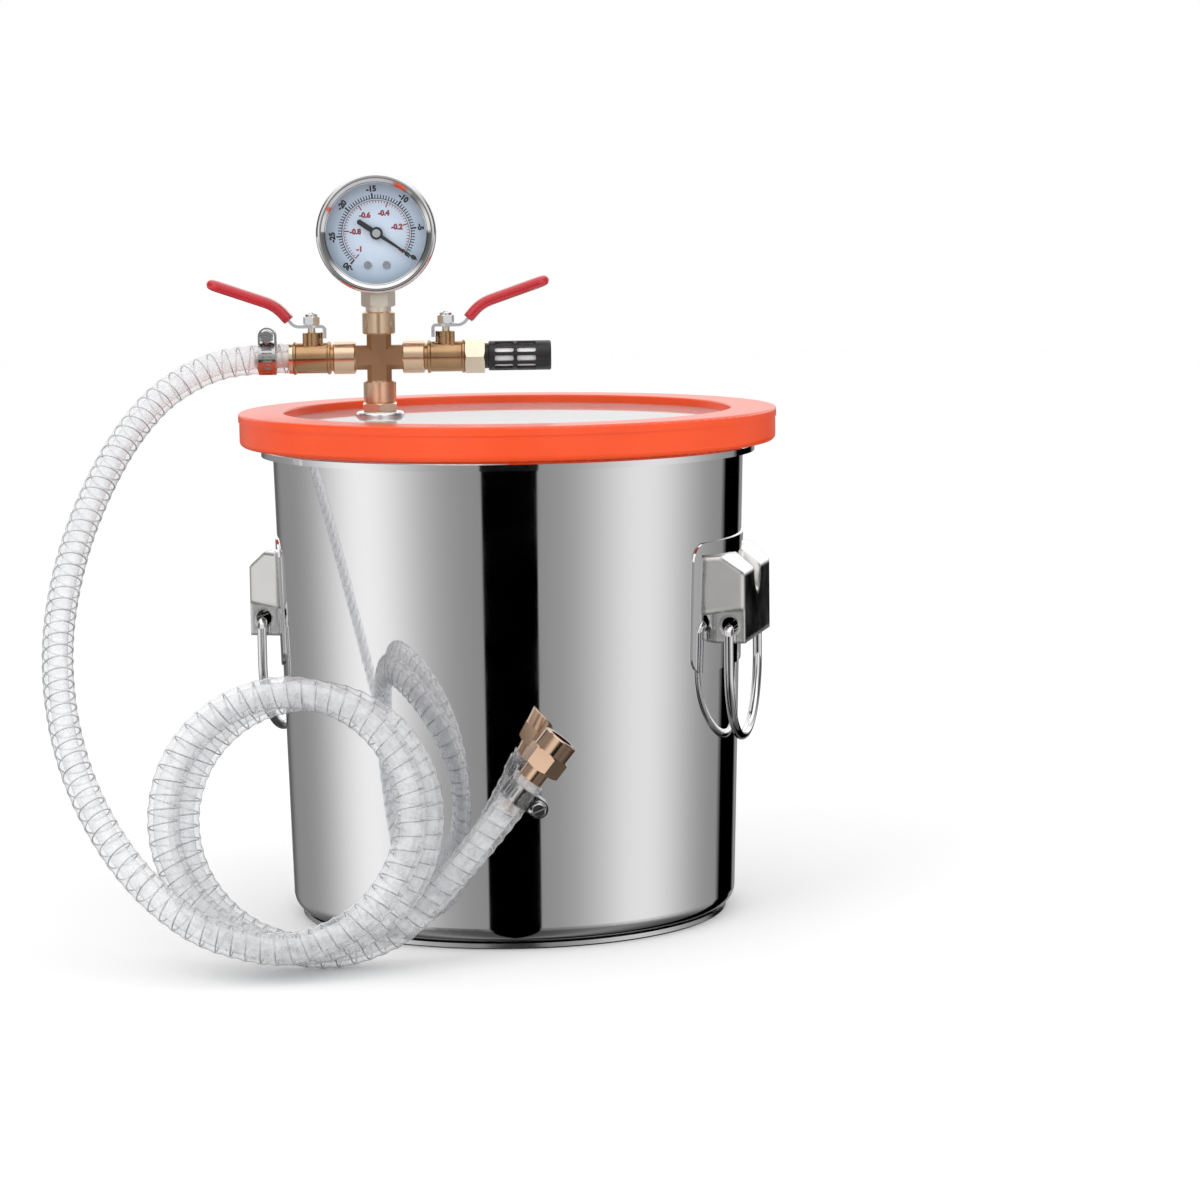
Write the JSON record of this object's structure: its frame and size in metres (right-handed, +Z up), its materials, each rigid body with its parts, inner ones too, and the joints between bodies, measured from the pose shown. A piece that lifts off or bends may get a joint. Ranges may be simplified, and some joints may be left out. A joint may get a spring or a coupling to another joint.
{
  "type": "vacuum degassing chamber",
  "caption": "Stainless pot with a clear gasketed lid, a vacuum gauge between lever ball valves on a brass cross, hanging ring handles and a coiled wire-reinforced hose.",
  "frame": {"origin": "centre of the pot's base disc, on the floor", "axes": "+Z up along the pot's axis; +X to the right and -Y towards the viewer of the gauge's face"},
  "size_m": [0.3834, 0.3412, 0.3968],
  "materials": {
    "polished_steel": "mirror-polished stainless steel",
    "satin_steel": "satin stainless steel",
    "plated_steel": "bright zinc-plated steel",
    "orange_silicone": "satin orange-red silicone",
    "clear_lid": "clear cast acrylic",
    "cast_brass": "matte as-forged brass",
    "turned_brass": "turned and nickel-washed brass",
    "black_plastic": "moulded black plastic",
    "white_felt": "white fibre element",
    "white_ptfe": "white PTFE",
    "black_rubber": "matte black rubber",
    "red_vinyl": "dipped red vinyl",
    "clear_hose": "clear flexible hose with a steel helix in its wall",
    "gauge_metal": "polished steel",
    "gauge_black": "black paint",
    "gauge_glass": "clear glass",
    "dial_face": "pale matte enamel with a printed scale",
    "needle_black": "matte black paint",
    "movement_brass": "stamped brass"
  },
  "bodies": {
    "chamber": {"base_disc": "satin_steel", "bourdon_tube": "movement_brass", "cross": "cast_brass", "dial_screws": "movement_brass", "gauge_bezel": "gauge_metal", "gauge_case": "gauge_metal", "gauge_dial": "dial_face", "gauge_lens": "gauge_glass", "gauge_stem": "turned_brass", "hose_coil": "clear_hose", "hose_drop": "clear_hose", "hose_end_fitting": "turned_brass", "hose_tail": "clear_hose", "left_handle_bracket": "polished_steel", "left_handle_plate": "polished_steel", "left_hose_barb": "turned_brass", "left_stem_seal": "black_rubber", "left_valve_body": "cast_brass", "left_valve_seats": "white_ptfe", "lens_spacer": "gauge_black", "lid_disc": "clear_lid", "lid_fitting": "turned_brass", "lid_gasket": "orange_silicone", "lid_seal": "black_rubber", "lid_washer": "plated_steel", "lower_clamp_band": "plated_steel", "lower_clamp_housing": "plated_steel", "lower_clamp_screw": "plated_steel", "movement_frame": "movement_brass", "muffler_body": "black_plastic", "muffler_element": "white_felt", "pot": "polished_steel", "right_handle_bracket": "polished_steel", "right_handle_plate": "polished_steel", "right_stem_seal": "black_rubber", "right_valve_body": "cast_brass", "right_valve_end": "turned_brass", "right_valve_seats": "white_ptfe", "under_lid_nut": "turned_brass", "under_lid_seal": "black_rubber", "under_lid_washer": "plated_steel", "upper_clamp_band": "plated_steel", "upper_clamp_housing": "plated_steel", "upper_clamp_screw": "plated_steel"},
    "left_valve_lever": {"left_lever": "plated_steel", "left_lever_grip": "red_vinyl", "left_lever_nut": "plated_steel", "left_valve_stem": "turned_brass", "left_valve_ball": "polished_steel"},
    "right_valve_lever": {"right_lever": "plated_steel", "right_lever_grip": "red_vinyl", "right_lever_nut": "plated_steel", "right_valve_stem": "turned_brass", "right_valve_ball": "polished_steel"},
    "needle": {"gauge_needle": "needle_black", "needle_arbor": "movement_brass"},
    "sector": {"sector_gear": "movement_brass"},
    "link": {"movement_link": "movement_brass"},
    "left_ring": {"left_handle_ring": "polished_steel"},
    "right_ring": {"right_handle_ring": "polished_steel"}
  },
  "joints": [
    {"name": "left_lever_turn", "type": "hinge", "parent": "chamber", "child": "left_valve_lever", "pos_m": [-0.105, 0.02, 0.298], "axis": [0, 0, 1], "range_deg": [-90, 0]},
    {"name": "right_lever_turn", "type": "hinge", "parent": "chamber", "child": "right_valve_lever", "pos_m": [-0.0326, 0.02, 0.298], "axis": [0, 0, 1], "range_deg": [0, 90]},
    {"name": "needle_turn", "type": "hinge", "parent": "chamber", "child": "needle", "pos_m": [-0.0688, 0.02, 0.3647], "axis": [0, -1, 0], "range_deg": [0, 263], "stiffness_Nm_per_rad": 0.0002, "springref_deg": -5.73},
    {"name": "sector_turn", "type": "hinge", "parent": "chamber", "child": "sector", "pos_m": [-0.0688, 0.02, 0.3512], "axis": [0, -1, 0], "range_deg": [-33, 0]},
    {"name": "link_turn", "type": "hinge", "parent": "sector", "child": "link", "pos_m": [-0.06401, 0.02, 0.35262], "axis": [0, -1, 0], "range_deg": [0, 33]},
    {"name": "left_ring_swing", "type": "hinge", "parent": "chamber", "child": "left_ring", "pos_m": [-0.12349, 0.03194, 0.1585], "axis": [0.2504, 0.9681, 0], "range_deg": [-2, 100]},
    {"name": "right_ring_swing", "type": "hinge", "parent": "chamber", "child": "right_ring", "pos_m": [0.12349, -0.03194, 0.1585], "axis": [-0.2504, -0.9681, 0], "range_deg": [-2, 100]}
  ],
  "couplings": [
    {"joint": "sector_turn", "follows": "needle_turn", "ratio": -0.125},
    {"joint": "link_turn", "follows": "needle_turn", "ratio": 0.125}
  ]
}
